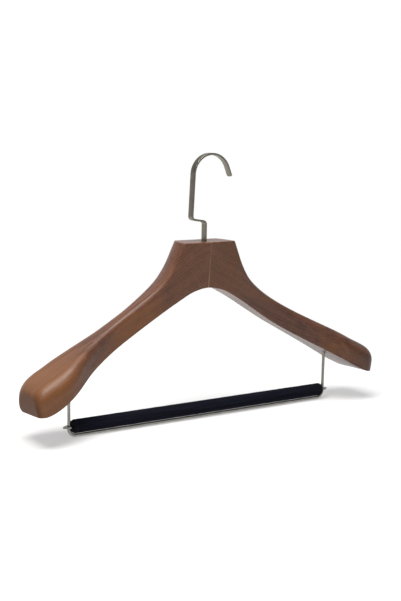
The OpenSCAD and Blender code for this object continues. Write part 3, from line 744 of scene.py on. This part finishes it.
def bend_hook():
    """The hook's flat strip: stem, jog to the left, leaning shank, arc over the rail, short tip."""
    foot, starts, end_round, chamfer = 0.3, (0.12, 0.3), 0.45, 0.5
    strip_r = RAIL_R + STRIP_T / 2
    stem_turn, shank_turn = math.pi / 2 - JOG_RISE, math.pi / 2 - JOG_RISE + SHANK_LEAN
    stem_set, shank_set = JOG_BEND * math.tan(stem_turn / 2), JOG_BEND * math.tan(shank_turn / 2)
    shank_foot = JOG_HEIGHT + JOG_OFFSET * math.tan(JOG_RISE)
    reach = math.hypot(RAIL[0] + JOG_OFFSET, RAIL_HEIGHT - shank_foot)
    shank_rise = math.sqrt(reach**2 - strip_r**2)
    path = walk([
        ("run", starts[0], 2), ("run", starts[1], 3),
        ("run", JOG_HEIGHT - stem_set - foot - sum(starts), 14),
        ("bend", JOG_BEND, -stem_turn, 18),
        ("run", JOG_OFFSET / math.cos(JOG_RISE) - stem_set - shank_set, 8),
        ("bend", JOG_BEND, shank_turn, 18), ("run", shank_rise - shank_set, 24),
        ("bend", strip_r, math.pi - SHANK_LEAN - TIP_ANGLE, 90),
        ("run", TIP_LEN - TIP_CORNER, 5), ("run", TIP_CORNER - end_round, 10),
        ("run", end_round, 6)], (0.0, foot, 0.0))
    gone = np.concatenate([[0], np.cumsum(np.hypot(*np.diff(path[:, :2], axis=0).T))])
    left = gone[-1] - gone
    # Round corners and a rounded end: each a circle's radius less the root of its square less
    # the square of the distance into it
    into = np.clip(TIP_CORNER - left, 0, TIP_CORNER * 0.995)
    width = STRIP_W - 2 * (TIP_CORNER - np.sqrt(TIP_CORNER**2 - into**2))
    end = np.clip(end_round - left, 0, end_round - 0.01)
    thickness = STRIP_T - 2 * (end_round - np.sqrt(end_round**2 - end**2))
    strip = sweep(path, rounded_strip(width, thickness, STRIP_EDGE))
    stem = lathe([[STEM_D / 2 - chamfer, -STEM_FOOT], [STEM_D / 2, chamfer - STEM_FOOT],
                  [STEM_D / 2, foot + 0.01]])
    piece = add_mesh("hook_strip", *join(strip, stem), SWEPT)
    piece.data.materials.append(satin_nickel("hook_satin_nickel", (900, 60, 200), 1.15))
    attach(piece, "hook")
    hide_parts("hook")


def bend_frame():
    """The trouser bar's wire frame: a leg down, along the bottom and up, with round corners. The
    outline is a circle, smaller at the two ends."""
    top, end = float(curve(LEG_X, UNDERSIDE)) + LEG_GRIP, 0.4
    leg = top + FRAME_DROP - CORNER_R
    path = walk([
        ("run", end, 3), ("run", leg - end, 60), ("bend", CORNER_R, -math.pi / 2, 24),
        ("run", 2 * (LEG_X - CORNER_R), 120), ("bend", CORNER_R, -math.pi / 2, 24),
        ("run", leg - end, 60), ("run", end, 3)], (-LEG_X, top, math.pi))
    a = np.linspace(0, 2 * math.pi, 28, endpoint=False)
    r = np.full(len(path), WIRE_D / 2)
    rounding = np.array([0.4, 0.2, 0.07, 0])
    r[:4] -= rounding
    r[-4:] -= rounding[::-1]
    points, faces = sweep(path, r[:, None, None] * np.stack([np.cos(a), np.sin(a)], -1))
    points[:, 1] -= FRAME_FRONT
    piece = add_mesh("bar_frame_wire", points, faces, SWEPT)
    # The wire's bottom run is painted twice as bright as its legs: painted light
    piece.data.materials.append(satin_nickel(
        "frame_satin_nickel", (300, 300, 300), np.array([2.45, 2.6, 2.9]), (-0.277, -0.269)))
    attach(piece, "hanger")
    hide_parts("bar_frame")


bend_hook()
bend_frame()


# ---------------------------------------------------------------- trouser bar
def flock(name):
    """Dense short fibres: near-black blue, brighter where the pile lies over, with a soft sheen."""
    material, n = new_material(name)
    space = n.object_space()
    streaks = n.noise(n.place(space, stretch=(14, 420, 420)), 1.0, 3.0, 0.6)
    pile = n.noise(space, 2600.0, 2.0, 0.7)
    tufts = n.noise(space, 700.0, 2.0, 0.6)
    colour = n.ramp(n.total((streaks, 0.65), (tufts, 0.35)), [
        (0.32, (0.003, 0.0035, 0.0065)), (0.55, (0.007, 0.008, 0.014)),
        (0.75, (0.015, 0.017, 0.029))])
    shader = n.add("BsdfPrincipled", {
        "Base Color": colour, "Roughness": 0.95, "Specular IOR Level": 0.08,
        "Normal": n.bump(n.total((pile, 0.6), (tufts, 0.4)), 0.8, 0.0005),
        "Sheen Weight": 0.05, "Sheen Roughness": 0.35, "Sheen Tint": (0.35, 0.4, 0.6, 1.0)})
    n.add("OutputMaterial", {"Surface": shader.outputs[0]})
    return material


def cover_bar():
    """Sleeve: a long turned tube whose surface is not quite even, as pile is. Its radius varies
    by a sum of two products of sines of the length and the angle round the bar."""
    rings, sides = 700, 96
    z = np.linspace(0, 2 * BODY_HALF, rings)
    a = np.linspace(0, 2 * math.pi, sides, endpoint=False)
    zz, aa = np.meshgrid(z, a, indexing="ij")
    uneven = 0.05 * (np.sin(zz * 0.21 + 2 * np.sin(aa)) * np.sin(3 * aa + zz * 0.05)
                     + 0.6 * np.sin(zz * 0.93 + 5 * aa) * np.sin(7 * aa - zz * 0.31)) - 0.06
    r = BAR_D / 2 + uneven
    outer = np.stack([r * np.cos(aa), r * np.sin(aa), zz], -1)
    inner_r = BAR_D / 2 - SLEEVE_T
    low, high = (np.stack([inner_r * np.cos(a), inner_r * np.sin(a), np.full(sides, end)], -1)[None]
                 for end in (0.0, z[-1]))
    # Turned round +Z, then laid along X
    off, across, along = np.concatenate([low, outer, high]).reshape(-1, 3).T
    points = np.stack([along - BODY_HALF, across - FRAME_FRONT, BAR_Z - off], -1)
    faces = grid_faces(rings + 2, sides, looped=True)
    piece = add_mesh("flocked_sleeve_pile", points, faces, FLOCKED)
    piece.data.materials.append(flock("navy_flock"))
    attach(piece, "bar")
    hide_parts("flocked_sleeve")


cover_bar()


# ---------------------------------------------------------------- small parts kept from the solids
def eased_copy(node, name, body, material, edge):
    """A copy of a solid with its doubles merged, its edges eased and its round faces smooth."""
    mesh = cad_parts[node].data.copy()
    mesh.name = name
    piece = bpy.data.objects.new(name, mesh)
    bpy.context.scene.collection.objects.link(piece)
    weld = piece.modifiers.new("weld", "WELD")
    weld.merge_threshold = 1e-6
    if edge:
        bevel = piece.modifiers.new("edge", "BEVEL")
        bevel.width, bevel.segments, bevel.limit_method = edge / 1000, 2, "ANGLE"
        bevel.angle_limit = CARVED
    done = apply_modifiers(piece, COPIED)
    done.name = name
    done.materials.clear()
    done.materials.append(material)
    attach(piece, body)
    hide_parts(node)


def turned_wood(name):
    """Plain pale dowel wood with fibres along X."""
    material, n = new_material(name)
    fibres = n.noise(n.place(n.object_space(), stretch=(40, 1100, 1100)), 1.0, 3.0, 0.6)
    colour = n.ramp(fibres, [(0.3, (0.36, 0.24, 0.13)), (0.7, (0.55, 0.40, 0.24))])
    shader = n.add("BsdfPrincipled", {"Base Color": colour, "Roughness": 0.7,
                                      "Normal": n.bump(fibres, 0.3, 0.0003)})
    n.add("OutputMaterial", {"Surface": shader.outputs[0]})
    return material


def moulded_cap(name):
    """Near-black moulded cap with a very fine grain."""
    material, n = new_material(name)
    space = n.object_space()
    grain = n.noise(space, 1800.0, 2.0, 0.6)
    colour = n.ramp(n.noise(space, 160.0, 2.0), [
        (0.3, (0.004, 0.005, 0.008)), (0.75, (0.009, 0.010, 0.016))])
    shader = n.add("BsdfPrincipled", {
        "Base Color": colour, "Roughness": 0.8, "Specular IOR Level": 0.12,
        "Normal": n.bump(grain, 0.35, 0.0003)})
    n.add("OutputMaterial", {"Surface": shader.outputs[0]})
    return material


def fit_small_parts():
    """Dowels, bushing, washer, nut, tube, caps and eyes, as copies of their solids."""
    nickel = satin_nickel("fittings_nickel", (500, 500, 500), np.array([1.35, 1.4, 1.5]))
    dowel = turned_wood("dowel_beech")
    cap = moulded_cap("end_cap_black")
    for node in ("upper_dowel", "lower_dowel"):
        eased_copy(node, node + "_turned", "hanger", dowel, 0.6)
    eased_copy("hook_bushing", "hook_bushing_turned", "hanger", nickel, 0.2)
    eased_copy("hook_washer", "hook_washer_pressed", "hook", nickel, 0.1)
    eased_copy("hook_nut", "hook_nut_cut", "hook", nickel, 0.2)
    eased_copy("bar_tube", "bar_tube_drawn", "bar", nickel, 0.2)
    for side in ("left", "right"):
        eased_copy(side + "_end_cap", side + "_end_cap_moulded", "bar", cap, 0.0)
        eased_copy(side + "_eye", side + "_eye_flattened", "bar", nickel, 0.25)


fit_small_parts()

view = bpy.context.scene.view_settings
view.view_transform = "Standard"
